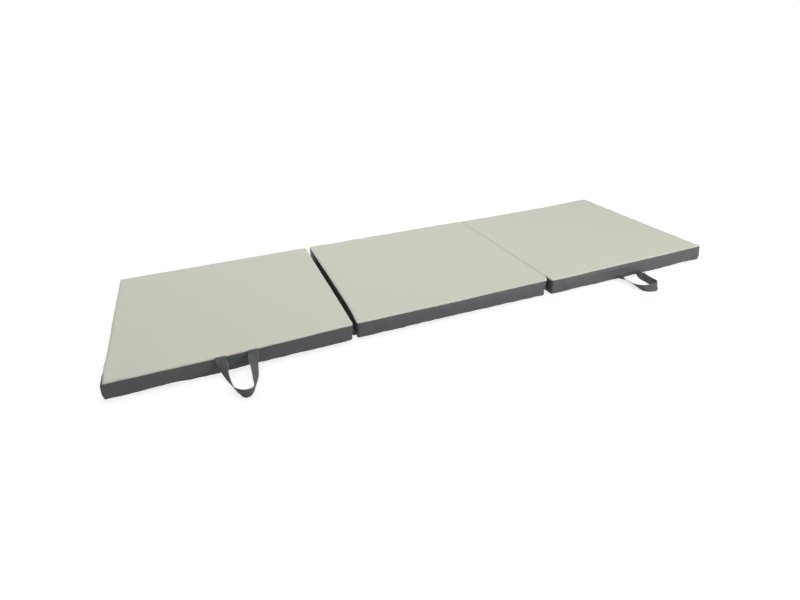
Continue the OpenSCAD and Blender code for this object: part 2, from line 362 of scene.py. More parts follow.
# Plain weave seen up close: rows of warp crossed by weft, along U and V in metres
def weaveGroup():
    inputs = {"Warp mm": 1.5, "Weft mm": 1.1}
    group, start, end = newGroup("wovenBand", inputs, ("Height", "Gaps"))
    link = group.links.new
    parts = addNode(group, "SeparateXYZ")
    link(start.outputs["Vector"], parts.inputs[0])
    turns = []
    for axis, label in (("X", "Weft mm"), ("Y", "Warp mm")):
        metres = mathNode(group, "MULTIPLY", start.outputs[label], mm)
        count = mathNode(group, "DIVIDE", parts.outputs[axis], metres)
        turns.append(mathNode(group, "MULTIPLY", count, math.pi))
    alongWave = mathNode(group, "SINE", turns[0])
    acrossWave = mathNode(group, "SINE", turns[1])
    crossed = mathNode(group, "MULTIPLY", alongWave, acrossWave)
    rows = mathNode(group, "ABSOLUTE", acrossWave)
    over = mathNode(group, "MULTIPLY_ADD", crossed, 0.35)
    group.nodes[-1].inputs[2].default_value = 0.4
    total = mathNode(group, "ADD", over, rows)
    link(total, end.inputs["Height"])
    link(mathNode(group, "SUBTRACT", 1.0, rows), end.inputs["Gaps"])
    return group


groups = {
    "grain": vinylGrainGroup(),
    "crumple": crumpleGroup(),
    "tone": toneGroup(),
    "weave": weaveGroup(),
}


def newMaterial(name, roughness, **fixed):
    material = bpy.data.materials.new(name)
    material.use_nodes = True
    tree = material.node_tree
    shader = tree.nodes["Principled BSDF"]
    shader.inputs["Roughness"].default_value = roughness
    setInputs(shader, **fixed)
    coords = addNode(tree, "TexCoord")
    return material, tree, shader, coords


def addBump(tree, height, distance, before=None):
    bump = addNode(tree, "Bump")
    setInputs(bump, Strength=1.0, Distance=distance)
    tree.links.new(height, bump.inputs["Height"])
    if before:
        tree.links.new(before, bump.inputs["Normal"])
    return bump.outputs["Normal"]


# A colour made darker where a mask is high, down from base times the colour
def darken(tree, color, mask, amount, base):
    mix = addNode(tree, "Mix", data_type="RGBA", blend_type="MULTIPLY")
    shade = mathNode(tree, "MULTIPLY_ADD", mask, -amount)
    tree.nodes[-1].inputs[2].default_value = base
    mix.inputs["Factor"].default_value = 1.0
    tree.links.new(color, mix.inputs["A"])
    tree.links.new(shade, mix.inputs["B"])
    return mix.outputs["Result"]


# Roughness that follows a value from low to high
def varyRoughness(tree, shader, value, low, high, **span):
    gloss = addNode(tree, "MapRange")
    setInputs(gloss, To_Min=low, To_Max=high, **span)
    tree.links.new(value, gloss.inputs["Value"])
    tree.links.new(gloss.outputs["Result"], shader.inputs["Roughness"])


def vinylMaterial(name, look):
    material, tree, shader, coords = newMaterial(
        name, look["roughness"], Specular_IOR_Level=look["specular"]
    )
    link = tree.links.new
    where = coords.outputs["Object"]
    tone = placeTone(tree, where, look["color"], look["drift"], look["driftSize"])
    grain = placeGroup(tree, "grain", where, Size_mm=look["grainSize"])
    crumple = placeGroup(tree, "crumple", where, Size_mm=look["creaseSize"])
    # Painted shade: the vinyl's colour is darkened in the hollows of its pebbled grain
    hollowShaded = darken(tree, tone.outputs["Color"], grain.outputs["Hollows"], look["hollowShade"], 1.0)
    link(hollowShaded, shader.inputs["Base Color"])
    varyRoughness(
        tree, shader, tone.outputs["Drift"], look["roughness"] - 0.05, look["roughness"] + 0.06,
        From_Min=0.3, From_Max=0.7,
    )
    creased = addBump(tree, crumple.outputs["Height"], look["creaseDepth"])
    grained = addBump(tree, grain.outputs["Height"], look["grainDepth"], before=creased)
    link(grained, shader.inputs["Normal"])
    return material


def wovenMaterial(name, look):
    material, tree, shader, coords = newMaterial(name, look["roughness"], Specular_IOR_Level=0.3)
    link = tree.links.new
    where = coords.outputs["UV"]
    if look.get("upright"):
        # Tape on an upright face: its length along X and its width along Z
        turned = addNode(tree, "Mapping")
        turned.inputs["Rotation"].default_value = (math.pi / 2, 0, 0)
        link(coords.outputs["Object"], turned.inputs["Vector"])
        where = turned.outputs["Vector"]
    weave = placeGroup(tree, "weave", where, Warp_mm=look["warp"], Weft_mm=look["weft"])
    tone = placeTone(tree, where, look["color"], 0.12, 25.0)
    # Painted shade in the gaps between the rows of yarn, and painted light on the raised yarn,
    # following the weave's relief
    woven = darken(tree, tone.outputs["Color"], weave.outputs["Gaps"], 0.55, 1.12)
    if look.get("selvedge"):
        parts = addNode(tree, "SeparateXYZ")
        link(where, parts.inputs[0])
        out = mathNode(tree, "ABSOLUTE", parts.outputs["Y"])
        rim = addNode(tree, "MapRange", interpolation_type="SMOOTHSTEP")
        setInputs(rim, From_Min=look["rim"] - 1.2 * mm, From_Max=look["rim"], To_Min=1.0)
        rim.inputs["To Max"].default_value = look["selvedge"]
        paler = addNode(tree, "VectorMath", operation="SCALE")
        link(out, rim.inputs["Value"])
        link(woven, paler.inputs[0])
        link(rim.outputs["Result"], paler.inputs["Scale"])
        woven = paler.outputs[0]
    link(woven, shader.inputs["Base Color"])
    fuzz = noiseNode(tree, where, 3500.0, Detail=2.0)
    rough = addBump(tree, fuzz, 0.00008)
    bumped = addBump(tree, weave.outputs["Height"], look["depth"], before=rough)
    link(bumped, shader.inputs["Normal"])
    return material


def plainMaterial(name, look):
    material, tree, shader, coords = newMaterial(
        name, look["roughness"], Metallic=look.get("metallic", 0.0)
    )
    link = tree.links.new
    where = coords.outputs["Object"]
    tone = placeTone(tree, where, look["color"], look["drift"], look["driftSize"])
    link(tone.outputs["Color"], shader.inputs["Base Color"])
    speckle = noiseNode(tree, where, 1000.0 / look["speckle"], Detail=3.0)
    varyRoughness(tree, shader, speckle, look["roughness"] - 0.08, look["roughness"] + 0.08)
    link(addBump(tree, speckle, look["depth"]), shader.inputs["Normal"])
    return material


finishes = {
    "sage": vinylMaterial("sageVinyl", {
        "color": (0.597, 0.597, 0.509), "roughness": 0.52, "specular": 0.35,
        "drift": 0.018, "driftSize": 260.0, "hollowShade": 0.05,
        "grainSize": 1.1, "grainDepth": 0.00012, "creaseSize": 90.0, "creaseDepth": 0.0006,
    }),
    "charcoal": vinylMaterial("charcoalVinyl", {
        "color": (0.093, 0.098, 0.104), "roughness": 0.46, "specular": 0.28,
        "drift": 0.07, "driftSize": 120.0, "hollowShade": 0.12,
        "grainSize": 1.0, "grainDepth": 0.00014, "creaseSize": 34.0, "creaseDepth": 0.0012,
    }),
    "webbing": wovenMaterial("greyWebbing", {
        "color": (0.112, 0.12, 0.12), "roughness": 0.75, "selvedge": 1.35, "rim": 11 * mm,
        "warp": 1.9, "weft": 1.4, "depth": 0.0005,
    }),
    "tape": wovenMaterial("zipTape", {
        "color": (0.022, 0.022, 0.024), "roughness": 0.85, "upright": True,
        "warp": 0.7, "weft": 0.6, "depth": 0.00015,
    }),
    "darkThread": plainMaterial("charcoalThread", {
        "color": (0.05, 0.052, 0.055), "roughness": 0.6,
        "drift": 0.08, "driftSize": 4.0, "speckle": 0.4, "depth": 0.00005,
    }),
    "nylon": plainMaterial("blackNylon", {
        "color": (0.018, 0.018, 0.02), "roughness": 0.38,
        "drift": 0.1, "driftSize": 6.0, "speckle": 0.8, "depth": 0.00002,
    }),
    "lacquer": plainMaterial("lacqueredMetal", {
        "color": (0.09, 0.09, 0.1), "roughness": 0.35, "metallic": 0.7,
        "drift": 0.08, "driftSize": 5.0, "speckle": 0.5, "depth": 0.00003,
    }),
    "foam": plainMaterial("whiteFoam", {
        "color": (0.83, 0.83, 0.8), "roughness": 0.85,
        "drift": 0.03, "driftSize": 60.0, "speckle": 3.0, "depth": 0.0004,
    }),
}


# Gives a piece its only material, its slot and its body
def finish(piece, look, body=None, smoothAngle=40):
    piece.data.materials.clear()
    piece.data.materials.append(finishes[look])
    for face in piece.data.polygons:
        face.material_index = 0
    onlySelect(piece)
    bpy.ops.object.shade_smooth_by_angle(angle=math.radians(smoothAngle))
    if body:
        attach(piece, body)


print("materials made")


# Covers: one padded form a panel, swollen as cloth over its foam, then parted at its
# seams into a top skin, a side band and a bottom skin

cover = {
    "formRadius": 15 * mm,
    "cornerSteps": 6,
    "cornerReach": 20 * mm,
    "cornerHold": 75 * mm,
    "cornerSwell": 0.12,
    "foamGap": 0.4 * mm,
    "cornerStill": 12 * mm,
    "footRound": 0.35,
    "edgeRound": 10 * mm,
    "hingeRound": 3 * mm,
    "hingeReach": 30 * mm,
    "swell": 4.5 * mm,
    "roundAngles": (12, 28, 50, 70, 90),
    "gridStep": 8 * mm,
    "bandCuts": (6.5, 9, 12, 15, 20, 25, 30, 35, 38, 41, 43.5),
    "zipInset": 45 * mm,
    "zipHalfHeight": 10 * mm,
    "vinyl": 1.1 * mm,
    "seamDip": 0.9 * mm,
    "topSag": 0.9 * mm,
    "sagReach": 25 * mm,
    "broadSize": 150 * mm,
    "broadHeight": 0.45 * mm,
    "frames": 16,
    "pressure": 1.6,
    "slack": -0.022,
}
seamBox = {side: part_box(f"{side}_top_skin") for side in panels}
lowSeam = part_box("middle_bottom_skin")[1][2]
highSeam = seamBox["middle"][0][2]
panelTop = seamBox["middle"][1][2]
seamDrop = panelTop - highSeam
bandMiddle = (lowSeam + highSeam) / 2
# Sides that face a neighbour across a hinge, and whether its strip is low or high
hingeSides = {
    "left": {+1: "low"},
    "middle": {-1: "low", +1: "high"},
    "right": {-1: "high"},
}
# Radii of each panel's corners from above: left front, left back, right front, right back
cornerRadii = {
    "left": (4 * mm, 6 * mm, 9 * mm, 13 * mm),
    "middle": (7 * mm, 5 * mm, 20 * mm, 18 * mm),
    "right": (9 * mm, 5 * mm, 4 * mm, 7 * mm),
}
bodyOf = {side: f"{side}_panel" for side in panels}


def panelSpan(side):
    low, high = seamBox[side]
    return low[0], high[0], low[1], high[1]


# The padded form of a panel between flat sides, centred over the origin
def makePadForm():
    x0, x1, y0, y1 = panelSpan("left")
    long, deep = x1 - x0, y1 - y0
    bpy.ops.mesh.primitive_cube_add(
        size=1, location=(0, 0, bandMiddle), scale=(long, deep, highSeam - lowSeam)
    )
    pad = newest("padForm")
    placeInMesh(pad)
    pickInEdit(pad, edges=lambda a, b: abs(a.z - b.z) > 5 * mm)
    bpy.ops.mesh.bevel(
        offset=cover["formRadius"], segments=cover["cornerSteps"], affect="EDGES"
    )
    for rise in (1, -1):
        pickInEdit(pad, faces=lambda face: face.normal.z * rise > 0.9)
        inNow, upNow = 0, 0
        for degrees in cover["roundAngles"]:
            angle = math.radians(degrees)
            inset = cover["edgeRound"] * (1 - math.cos(angle))
            lift = seamDrop * math.sin(angle)
            bpy.ops.mesh.inset(thickness=inset - inNow, depth=0)
            bpy.ops.transform.translate(value=(0, 0, rise * (lift - upNow)))
            inNow, upNow = inset, lift
    bpy.ops.mesh.select_all(action="SELECT")
    for axis, length in ((0, long), (1, deep)):
        reach = length / 2 - cover["cornerReach"] - 1 * mm
        count = int(2 * reach / cover["gridStep"])
        places = list(np.linspace(-reach, reach, count))
        if axis == 0:
            zipEnd = length / 2 - cover["zipInset"]
            places = [p for p in places if abs(abs(p) - zipEnd) > 3 * mm] + [-zipEnd, zipEnd]
        cutAcross(places, axis)
    cutAcross([z * mm for z in cover["bandCuts"]], 2)
    backToObject()
    return pad


def swellAt(z):
    half = (highSeam - lowSeam) / 2
    radius = (half ** 2 + cover["swell"] ** 2) / (2 * cover["swell"])
    up = np.clip(z - bandMiddle, -half, half)
    return np.sqrt(radius ** 2 - up ** 2) - radius + cover["swell"]


# The pad form's points moved to a panel, with its corners, hinge sides and swell
def panelShape(base, side, swellShare):
    x0, x1, y0, y1 = panelSpan(side)
    formSpan = panelSpan("left")
    halfLong = (formSpan[1] - formSpan[0]) / 2
    halfDeep = (formSpan[3] - formSpan[2]) / 2
    x, y, z = base.T
    wayX, wayY = np.where(x > 0, 1, -1), np.where(y > 0, 1, -1)
    lift = np.clip(np.maximum(z - highSeam, lowSeam - z) / seamDrop, 0, 1)
    turned = 1 - np.sqrt(1 - lift ** 2)
    inside = halfLong - np.abs(x)
    toCorner = np.maximum(inside, halfDeep - np.abs(y)) / cover["cornerHold"]
    share = np.where(z < bandMiddle, np.clip(cover["footRound"] + toCorner, 0, 1), 1)
    insetX = cover["edgeRound"] * turned * share
    insetY = insetX
    newX = np.abs(x)
    for sign, level in hingeSides[side].items():
        upper = z > bandMiddle if level == "high" else z < bandMiddle
        atHinge = (wayX == sign) & upper
        insetX = np.where(atHinge, cover["hingeRound"] * turned, insetX)
        reach = cover["hingeReach"]
        ease = (inside - cover["edgeRound"]) / (reach - cover["edgeRound"])
        eased = cover["hingeRound"] + ease * (reach - cover["hingeRound"])
        narrow = inside * cover["hingeRound"] / cover["edgeRound"]
        pulled = np.where(inside < cover["edgeRound"], narrow, eased)
        newX = np.where(atHinge & (inside < reach) & (lift > 0), halfLong - pulled, newX)
    newY = np.abs(y)
    # Corners: the form's one radius becomes each corner's own
    alongX = np.abs(x) - halfLong + cover["formRadius"]
    alongY = np.abs(y) - halfDeep + cover["formRadius"]
    corner = (alongX > 0) & (alongY > 0)
    angle = np.arctan2(alongY, alongX)
    radius = np.zeros(len(x))
    for value, (signX, signY) in zip(cornerRadii[side], ((-1, -1), (-1, 1), (1, -1), (1, 1))):
        radius[(wayX == signX) & (wayY == signY)] = value
    radius = np.minimum(radius, cover["cornerReach"] - np.maximum(insetX, insetY))
    newX = np.where(corner, halfLong - insetX + radius * (np.cos(angle) - 1), newX)
    newY = np.where(corner, halfDeep - insetY + radius * (np.sin(angle) - 1), newY)
    # The band swells between its seams on the sides that are free
    onBand = (z > lowSeam + 0.1 * mm) & (z < highSeam - 0.1 * mm)
    fromCorner = np.maximum(inside, halfDeep - np.abs(y))
    slack = np.clip((fromCorner - cover["cornerStill"]) / cover["cornerHold"], 0, 1)
    slack = cover["cornerSwell"] + (1 - cover["cornerSwell"]) * slack ** 2 * (3 - 2 * slack)
    out = swellAt(z) * swellShare * slack * onBand
    freeX = np.ones(len(x))
    for sign in hingeSides[side]:
        freeX = np.where(wayX == sign, 0, freeX)
    newX += np.where(corner | (inside < 1 * mm), out * freeX, 0)
    newY += np.where(corner | (halfDeep - np.abs(y) < 1 * mm), out, 0)
    newY *= (y1 - y0) / (2 * halfDeep)
    return np.stack(
        [(x0 + x1) / 2 + wayX * newX, (y0 + y1) / 2 + wayY * newY, z], axis=1
    )


# How far inwards each value is from the low end (sign below 0) or the high end
def fromEnd(values, low, high, sign):
    return high - values if sign > 0 else values - low


# How far inside a panel's outline each point is, seen from above
def insideOf(points, side):
    x0, x1, y0, y1 = panelSpan(side)
    x, y = points[:, 0], points[:, 1]
    return np.minimum(np.minimum(x - x0, x1 - x), np.minimum(y - y0, y1 - y))


def onFlats(z):
    return (z > panelTop - 0.3 * mm) | (z < 0.3 * mm)


def onSeams(z):
    return (np.abs(z - highSeam) < 0.1 * mm) | (np.abs(z - lowSeam) < 0.1 * mm)


# Where a point is on the part of the back band that the zip is let into
def zipZone(points, side, margin):
    x0, x1, y0, y1 = panelSpan(side)
    return (
        (points[:, 1] > y1 - 2 * mm)
        & (points[:, 0] > x0 + cover["zipInset"] - margin)
        & (points[:, 0] < x1 - cover["zipInset"] + margin)
        & (np.abs(points[:, 2] - bandMiddle) < cover["zipHalfHeight"] + margin)
    )


# How firmly the cloth is held: fast on the flats, the hinge faces and the zip
def holdWeights(points, side):
    x0, x1, _, _ = panelSpan(side)
    x, y, z = points.T
    inwards = np.clip((insideOf(points, side) - 8 * mm) / (30 * mm), 0, 1)
    weight = np.where(onFlats(z), inwards, 0)
    weight = np.where(onSeams(z), 0.55, weight)
    for way in hingeSides[side]:
        face = fromEnd(x, x0, x1, way) < 1 * mm
        weight = np.where(face, 0.85, weight)
    return np.where(zipZone(points, side, 4 * mm), 1, weight)


def swellAsCloth(pad, side, seed):
    start = pointsOf(pad)
    hold = pad.vertex_groups.new(name="hold")
    for index, weight in enumerate(holdWeights(start, side)):
        if weight > 0:
            hold.add([index], float(weight), "REPLACE")
    shaken = start + np.random.default_rng(seed).normal(0, 0.12 * mm, start.shape)
    movePoints(pad, shaken)
    onlySelect(pad)
    cloth = pad.modifiers.new("swell", "CLOTH")
    settings = cloth.settings
    settings.quality = 5
    settings.use_pressure = True
    settings.uniform_pressure_force = cover["pressure"]
    settings.vertex_group_mass = "hold"
    settings.shrink_min = cover["slack"]
    settings.effector_weights.gravity = 0
    cloth.collision_settings.use_collision = False
    for number in range(1, cover["frames"] + 1):
        bpy.context.scene.frame_set(number)
    bpy.ops.object.modifier_apply(modifier=cloth.name)
    pad.vertex_groups.clear()
    return pointsOf(pad)


gathers = {
    "reach": 9 * mm,
    "fine": 15 * mm,
    "broad": 38 * mm,
    "height": 0.75 * mm,
    "fanPlace": 37.5 * mm,
    "fanReach": 22 * mm,
    "fanHeight": 1.1 * mm,
}


# Small gathers that stand off the seams, where the sheeting was drawn in
def puckerAlongSeams(points, normals, side, seed):
    z = points[:, 2]
    fromSeam = np.minimum(np.abs(z - highSeam), np.abs(z - lowSeam))
    inside = np.maximum(insideOf(points, side), 0)
    near = np.exp(-np.maximum(fromSeam, inside) / gathers["reach"])
    stretched = points * np.array([1, 1, 0.35])
    gather = ripple(stretched, gathers["fine"], seed)
    gather += 0.5 * ripple(stretched, gathers["broad"], seed + 5)
    return normals * (gather * near * gathers["height"])[:, None]


# Folds that fan out over the band from where a handle's ends are sewn in
def pullAtHandle(points, normals, side):
    if side == "middle":
        return 0
    x0, x1, y0, _ = panelSpan(side)
    seamZ = highSeam if side == "left" else lowSeam
    push = np.zeros(len(points))
    front = points[:, 1] < y0 + 1 * mm
    for way in (-1, 1):
        across = points[:, 0] - (x0 + x1) / 2 - way * gathers["fanPlace"]
        up = points[:, 2] - seamZ
        reach = np.hypot(across, up)
        fan = np.cos(4 * np.arctan2(across, np.abs(up) + 2 * mm))
        fan *= np.exp(-reach / gathers["fanReach"]) * gathers["fanHeight"]
        push += np.where(front, fan, 0)
    return normals * push[:, None]


# How far the cover may stand out from its form or lie in from it, as (out, in)
limits = {
    "flat": (0.7 * mm, 0.6 * mm),
    "band": (1.9 * mm, 0.85 * mm),
    "low": (1.2 * mm, 0.5 * mm),
    "high": (0.35 * mm, 0.5 * mm),
    "zip": (0.25 * mm, 0.1 * mm),
}


def shapePad(pad, base, side, seed):
    full = panelShape(base, side, 1.0)
    movePoints(pad, full)
    normals = normalsOf(pad)
    start = panelShape(base, side, 0.8)
    movePoints(pad, start)
    moved = swellAsCloth(pad, side, seed)
    offset = moved - full
    offset += puckerAlongSeams(full, normals, side, seed) + pullAtHandle(full, normals, side)
    outward = (offset * normals).sum(axis=1)
    sideways = offset - normals * outward[:, None]
    x0, x1, y0, y1 = panelSpan(side)
    x, y, z = full.T
    inside = insideOf(full, side)
    flats = onFlats(z)
    most, least = (np.where(flats, a, b) for a, b in zip(limits["flat"], limits["band"]))
    for way, level in hingeSides[side].items():
        face = fromEnd(x, x0, x1, way) < 3.5 * mm
        most = np.where(face, limits[level][0], most)
        least = np.where(face, limits[level][1], least)
    corner = np.minimum(x - x0, x1 - x) + np.minimum(y - y0, y1 - y) < 22 * mm
    least = np.where(corner & ~flats, limits["high"][1], least)
    zone = zipZone(full, side, 9 * mm)
    most = np.where(zone, limits["zip"][0], most)
    least = np.where(zone, limits["zip"][1], least)
    limit = np.where(outward > 0, most, least)
    outward = limit * np.tanh(outward / limit)
    broad = ripple(full * np.array([1, 1, 0]), cover["broadSize"], seed + 11)
    broad *= cover["broadHeight"]
    # The top sags a little, so two tops folded face to face only just touch
    sag = (broad - cover["topSag"]) * np.clip(inside / cover["sagReach"], 0, 1)
    outward += np.where(flats & (z > bandMiddle), sag, 0)
    outward -= np.where(onSeams(z), cover["seamDip"], 0)
    moved = full + normals * outward[:, None] + np.clip(sideways, -1 * mm, 1 * mm) * 0.5
    moved = settle(moved, side)
    moved[:, 2] = np.maximum(moved[:, 2], 0.05 * mm)
    movePoints(pad, moved)


# How each panel has settled, in mm along its edges from left to right: the rise of the seam,
# the lift of the foot of the band (or below 0, how far it stands out). Corners and ends
# move in by so much: a corner's cap (the seam and above), top and foot each with a reach,
# an end by knots from front to back
settled = {
    "left": {
        "front": (
            (0, -2.5), (0.2, -2.4), (0.28, -3.4), (0.35, -2.5), (0.42, -3.9), (0.5, -2.4),
            (0.6, -1.2), (0.7, 0.2), (0.8, 1.3), (0.87, 3.0), (1, 3.4),
        ),
        "foot": (
            (0, 0), (0.12, -1.8), (0.18, -0.3), (0.22, 1.2), (0.31, -1.5), (0.37, -3.2),
            (0.5, -0.5), (0.6, 1), (0.65, 0), (0.75, 1.6), (0.85, 0), (0.94, 2.4), (1, 2.8),
        ),
        "back": ((0, 2.6), (1, 1.5)),
        "corners": {
            (-1, -1): {"cap": (5.2, 45), "top": (-0.7, 45), "foot": (-3.5, 45)},
            (1, -1): {"top": (1.5, 40), "foot": (8, 30)},
        },
        "ends": {-1: ((0, 0), (0.12, 1), (0.2, 2.2), (0.4, 2.2), (0.55, 0), (1, 0))},
    },
    "middle": {
        "front": (
            (0, 3.0), (0.1, 2.1), (0.25, 2.2), (0.5, 0.8), (0.62, 2.2), (0.85, 2.7), (1, 2.4),
        ),
        "foot": (
            (0, 2.4), (0.2, 0.5), (0.38, 2.2), (0.5, 0), (0.75, -1), (0.9, -2.1), (1, -2.1),
        ),
        "back": ((0, -0.3), (0.6, -0.6), (1, -2.4)),
        "corners": {
            (-1, -1): {"top": (-4, 60), "foot": (-7, 24)},
            (1, -1): {"foot": (13, 26)},
        },
        "ends": {-1: ((0, 0), (0.1, 1.2), (0.2, 1.8), (0.6, 1.8), (0.9, 0), (1, 0))},
    },
    "right": {
        "front": (
            (0, -0.3), (0.12, -0.9), (0.25, 0.5), (0.5, 1.1), (0.7, 1.7), (0.8, 2.8), (1, 3.4),
        ),
        "foot": (
            (0, -2.5), (0.2, -3.8), (0.34, -4.8), (0.6, -4.2), (0.75, -2.8), (0.85, -0.5),
            (1, -1),
        ),
        "back": ((0, -4.2), (0.65, -4.1), (0.76, -2.1), (0.84, -0.5), (0.92, 1.5), (1, 1.5)),
        "corners": {(1, -1): {"cap": (-4, 30), "top": (4, 30), "foot": (-0.5, 40)}},
        "ends": {},
    },
}


# How fast each kind of settling dies away from its edge
settling = {
    "edge": 32 * mm,
    "flank": 30 * mm,
    "end": 25 * mm,
    "slack": 70 * mm,
    "lumpSize": 16 * mm,
    "lumpHeight": 1.6 * mm,
    "drawnIn": 1.2 * mm,
    "tighten": 0.6,
    "ease": 0.03,
}


# The knots' value at each share of an edge's length, eased from knot to knot
def alongEdge(knots, share):
    at, values = zip(*knots)
    steps = np.linspace(-settling["ease"], settling["ease"], 7)
    return sum(np.interp(share + step, at, values) for step in steps) / len(steps) * mm


# How near each point is to an edge, 1 at the edge and outside it
def nearness(inside, kind):
    return np.exp(-np.clip(inside, 0, None) / settling[kind])


def settle(points, side):
    look = settled[side]
    x0, x1, y0, y1 = panelSpan(side)
    x, y, z = points.T.copy()
    share = (x - x0) / (x1 - x0)
    lift = np.clip((z - highSeam) / seamDrop, 0, 1)
    upper = np.clip((z - bandMiddle) / (highSeam - bandMiddle), 0, 1)
    for name, inside in (("front", y - y0), ("back", y1 - y)):
        rise = alongEdge(look[name], share)
        near = nearness(inside, "edge")
        level = upper if name == "front" else np.clip(upper * 2.5 - 1.5, 0, 1)
        over = np.where(rise < 0, 1, 1 - lift)
        points[:, 2] += rise * near * np.where(z > highSeam, over, level)
    # The foot of the front band lifts, or stands out with a tighter edge under it
    foot = alongEdge(look["foot"], share)
    inside = y - y0
    lower = np.clip(1 - z / bandMiddle, 0, 1)
    under = z < lowSeam - 0.1 * mm
    near = nearness(inside, "edge")
    atFront = (inside < 3 * mm) | under
    points[:, 2] += np.where(atFront, np.maximum(foot, 0) * lower * near, 0)
    out = np.maximum(-foot, 0)
    points[:, 1] -= np.where(atFront, out * lower * near, 0)
    tighten = np.clip(out / (2 * mm), 0, 1) * settling["tighten"]
    ease = np.where(inside < 10 * mm, inside, (40 * mm - inside) / 3)
    points[:, 1] -= np.where(under, tighten * np.clip(ease, 0, None), 0)
    up = np.clip(z / highSeam, 0, 1)
    parts = {"cap": z > highSeam - 0.5 * mm, "top": up, "foot": 1 - up}
    for (signX, signY), corner in look["corners"].items():
        fromX, fromY = fromEnd(x, x0, x1, signX), fromEnd(y, y0, y1, signY)
        away = np.hypot(np.maximum(fromX, 0), np.maximum(fromY, 0))
        flank = nearness(fromX, "flank")
        for name, (shift, reach) in corner.items():
            close = np.exp(-(away / (reach * mm)) ** 2) * flank
            points[:, 0] -= signX * shift * mm * close * parts[name]
    for signX, knots in look["ends"].items():
        flank = nearness(fromEnd(x, x0, x1, signX), "end")
        points[:, 0] -= signX * alongEdge(knots, (y - y0) / (y1 - y0)) * flank * up
    if side == "right":
        # Its face in the gap is slack and lumpy
        face = (x < x0 + 4 * mm) & (z < highSeam - 1 * mm) & (z > 3 * mm)
        stretched = points * np.array([0.2, 1, 1.4])
        lumps = ripple(stretched, settling["lumpSize"], 77) * settling["lumpHeight"]
        drawn = (lumps + settling["drawnIn"]) * nearness(y - y0, "slack")
        points[:, 0] += np.where(face, drawn, 0)
    return points


# The foam fills its cover, so it is the cover's own form drawn in by the vinyl
def makeFoam(pad, side):
    foam = copyOf(pad, f"{side}Foam")
    depth = cover["vinyl"] + cover["foamGap"]
    movePoints(foam, pointsOf(foam) - normalsOf(foam) * depth)
    finish(foam, "foam", bodyOf[side], smoothAngle=60)
    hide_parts(f"{side}_foam_core")


coverParts = {
    "top": ("TopSkin", "top_skin", "sage", "sage_vinyl"),
    "band": ("SideBand", "side_band", "charcoal", "charcoal_vinyl"),
    "bottom": ("BottomSkin", "bottom_skin", "charcoal", "charcoal_vinyl"),
}
print("building covers")
padForm = makePadForm()
basePoints = pointsOf(padForm)
for number, side in enumerate(panels):
    pad = copyOf(padForm, f"{side}Pad")
    centres = np.array([face.center for face in pad.data.polygons])
    shapePad(pad, basePoints, side, number + 1)
    parts = np.where(centres[:, 2] > highSeam, 0, np.where(centres[:, 2] < lowSeam, 2, 1))
    centres[:, 0] += sum(panelSpan(side)[:2]) / 2
    slot = zipZone(centres, side, 0) & (parts == 1)
    parts = np.where(slot, 3, parts)
    pad.data.polygons.foreach_set("material_index", parts.astype(int))
    for name in ("top", "band", "bottom", "slot"):
        pad.data.materials.append(bpy.data.materials.new(f"{side}-{name}"))
    makeFoam(pad, side)
    subdivide(pad)
    editAll(pad)
    bpy.ops.mesh.separate(type="MATERIAL")
    backToObject()
    found = [o for o in bpy.context.scene.objects if o.name.startswith(f"{side}Pad")]
    for piece in found:
        index = piece.data.polygons[0].material_index
        piece["part"] = piece.data.materials[index].name.split("-")[1]
    for piece in found:
        part = piece["part"]
        del piece["part"]
        if part == "slot":
            bpy.data.objects.remove(piece)
            continue
        ending, node, look, slotName = coverParts[part]
        piece.name = f"{side}{ending}"
        piece.data.name = piece.name
        applyModifier(piece, "SOLIDIFY", thickness=cover["vinyl"], offset=-1)
        finish(piece, look, bodyOf[side], smoothAngle=60)
        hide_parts(f"{side}_{node}")
    print(side, "cover made", len(found))
bpy.data.objects.remove(padForm)


welt = {"radius": 1 * mm, "short": 5 * mm, "across": 4.1 * mm, "deep": 0.4 * mm}


# The band's ends are closed by an upright welt at the right panel's corner in the gap. Its dark
# thread colour, darker than the band's vinyl, paints the shade line of this corner seam
def makeWelt():
    x0, _, y0, _ = panelSpan("right")
    piece = makeCylinder(
        "rightBandWelt", vertices=16, radius=welt["radius"],
        depth=highSeam - lowSeam - welt["short"],
        location=(x0 + welt["across"], y0 + welt["deep"], bandMiddle),
    )
    bevelEdges(piece, 0.4 * mm, 2, 60)
    finish(piece, "darkThread", bodyOf["right"])


makeWelt()


# Hinge strips: each runs from one panel's seam to the other's, shaped with a dip along the fold
# line

hinge = {
    "across": 24,
    "along": 110,
    "thick": 0.9 * mm,
    "grooveHalf": 1.0 * mm,
    "grooveDepth": 2.6 * mm,
    "ridge": 0.25 * mm,
}


def makeStrip(name, x0, x1, y0, y1, heightAt):
    bpy.ops.mesh.primitive_grid_add(
        x_subdivisions=hinge["across"], y_subdivisions=hinge["along"], size=1,
        location=((x0 + x1) / 2, (y0 + y1) / 2, 0),
    )
    strip = newest(name)
    strip.scale = (x1 - x0, y1 - y0, 1)
    placeInMesh(strip)
    points = pointsOf(strip)
    middle, reach = (x0 + x1) / 2, (x1 - x0) / 2
    share = (points[:, 0] - middle) / reach
    points[:, 0] = middle + reach * np.sign(share) * np.abs(share) ** 1.7
    points[:, 2] = heightAt(points[:, 0], points[:, 1])
    movePoints(strip, points)
    applyModifier(strip, "SOLIDIFY", thickness=hinge["thick"], offset=-1)
    subdivide(strip)
    return strip


